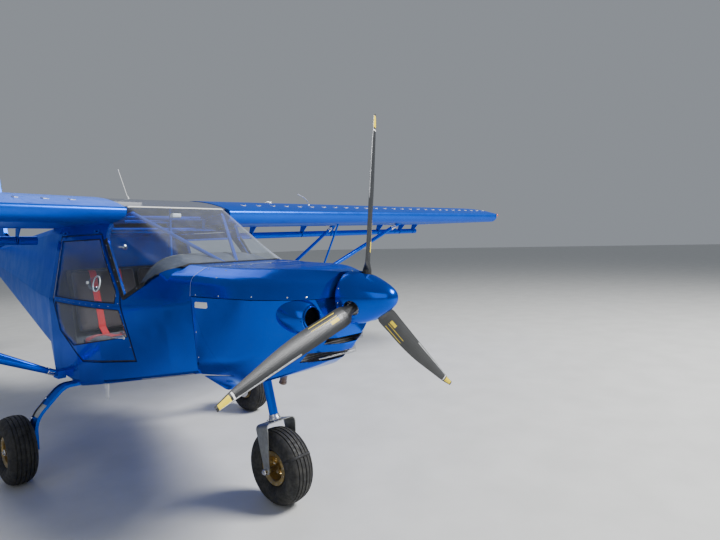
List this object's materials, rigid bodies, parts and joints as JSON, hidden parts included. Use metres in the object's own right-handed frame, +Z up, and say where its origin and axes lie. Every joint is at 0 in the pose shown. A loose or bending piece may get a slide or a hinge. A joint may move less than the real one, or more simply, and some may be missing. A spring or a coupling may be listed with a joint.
{
  "type": "microlight aircraft",
  "caption": "High-wing microlight aircraft with strut-braced metal wings, tractor propeller, glazed cabin with swing-up doors, steered nose wheel and hinged control surfaces.",
  "frame": {"origin": "centre of the bounding box at the ground under the wheels", "axes": "+X towards the port wing tip, +Y towards the tail, +Z up, tyres on Z = 0"},
  "size_m": [8.942, 6.5669, 2.56],
  "materials": {
    "alloy_blue": "gloss blue paint on sheet alloy",
    "paint_blue": "gloss blue paint on steel",
    "paint_white": "gloss white paint",
    "frame_blue": "blue tube paint",
    "composite_blue": "gloss blue moulded skin",
    "blade_carbon": "dark moulded fibre",
    "metal": "bare sheet",
    "steel": "bare",
    "engine": "dark cast",
    "exhaust": "heat-stained",
    "gold_rim": "gold anodised",
    "clear": "clear sheet",
    "tyre": "ribbed rubber",
    "dark_trim": "grained",
    "seat_cloth": "woven"
  },
  "bodies": {
    "airframe": {"cabin_shell": "composite_blue", "firewall": "metal", "cowl_upper": "composite_blue", "cowl_lower": "composite_blue", "engine_block": "engine", "radiator": "metal", "exhaust_pipe": "exhaust", "windscreen": "clear", "roof_glazing": "clear", "roof_deck": "alloy_blue", "cabin_tubes": "frame_blue", "instrument_panel": "dark_trim", "seat_frame": "metal", "seat_cushions": "seat_cloth", "seat_backs": "seat_cloth", "control_stick": "dark_trim", "tail_cone": "alloy_blue", "tailplane": "alloy_blue", "fin": "alloy_blue", "wing_port": "alloy_blue", "wing_starboard": "alloy_blue", "flaperon_brackets": "alloy_blue", "struts_port": "alloy_blue", "struts_starboard": "alloy_blue", "gear_leaf": "alloy_blue", "main_axles": "steel", "antennas": "paint_white"},
    "propeller": {"spinner": "composite_blue", "prop_hub": "metal", "propeller_blades": "blade_carbon"},
    "nose_steering": {"nose_leg": "paint_blue", "nose_fork": "metal", "nose_axle": "steel"},
    "nose_wheel": {"tyre_nose": "tyre", "rim_nose": "gold_rim"},
    "port_wheel": {"tyre_port": "tyre", "rim_port": "gold_rim"},
    "starboard_wheel": {"tyre_starboard": "tyre", "rim_starboard": "gold_rim"},
    "port_door": {"door_port": "composite_blue", "door_glass_port": "clear"},
    "starboard_door": {"door_starboard": "composite_blue", "door_glass_starboard": "clear"},
    "port_flaperon": {"flaperon_port": "alloy_blue"},
    "starboard_flaperon": {"flaperon_starboard": "alloy_blue"},
    "elevator_surface": {"elevator": "alloy_blue"},
    "rudder_surface": {"rudder": "alloy_blue"}
  },
  "joints": [
    {"name": "propeller_spin", "type": "hinge", "parent": "airframe", "child": "propeller", "pos_m": [0, -3.1086, 1.18], "axis": [0, -0.9993, 0.0379], "continuous": true},
    {"name": "nose_steer", "type": "hinge", "parent": "airframe", "child": "nose_steering", "pos_m": [0, -2.4076, 0.456], "axis": [0, 0.2588, 0.9659], "range_deg": [-25, 25]},
    {"name": "nose_wheel_spin", "type": "hinge", "parent": "nose_steering", "child": "nose_wheel", "pos_m": [0, -2.4466, 0.21], "axis": [1, 0, 0], "continuous": true},
    {"name": "port_wheel_spin", "type": "hinge", "parent": "airframe", "child": "port_wheel", "pos_m": [0.881, -0.9546, 0.21], "axis": [1, 0, 0], "continuous": true},
    {"name": "starboard_wheel_spin", "type": "hinge", "parent": "airframe", "child": "starboard_wheel", "pos_m": [-0.881, -0.9546, 0.21], "axis": [1, 0, 0], "continuous": true},
    {"name": "port_door_swing", "type": "hinge", "parent": "airframe", "child": "port_door", "pos_m": [0.47, -1.2546, 1.538], "axis": [0, -1, 0], "range_deg": [0, 78]},
    {"name": "starboard_door_swing", "type": "hinge", "parent": "airframe", "child": "starboard_door", "pos_m": [-0.47, -1.2546, 1.538], "axis": [0, 1, 0], "range_deg": [0, 78]},
    {"name": "port_flaperon_swing", "type": "hinge", "parent": "airframe", "child": "port_flaperon", "pos_m": [2, -0.3426, 1.52764], "axis": [-0.9999, 0, -0.0108], "range_deg": [-18, 30]},
    {"name": "starboard_flaperon_swing", "type": "hinge", "parent": "airframe", "child": "starboard_flaperon", "pos_m": [-2, -0.3426, 1.52764], "axis": [-0.9999, 0, 0.0108], "range_deg": [-18, 30]},
    {"name": "elevator_swing", "type": "hinge", "parent": "airframe", "child": "elevator_surface", "pos_m": [0, 2.8174, 1.517], "axis": [-1, 0, 0], "range_deg": [-25, 25]},
    {"name": "rudder_swing", "type": "hinge", "parent": "airframe", "child": "rudder_surface", "pos_m": [0, 2.8634, 1.9], "axis": [0, 0, 1], "range_deg": [-25, 25]}
  ]
}
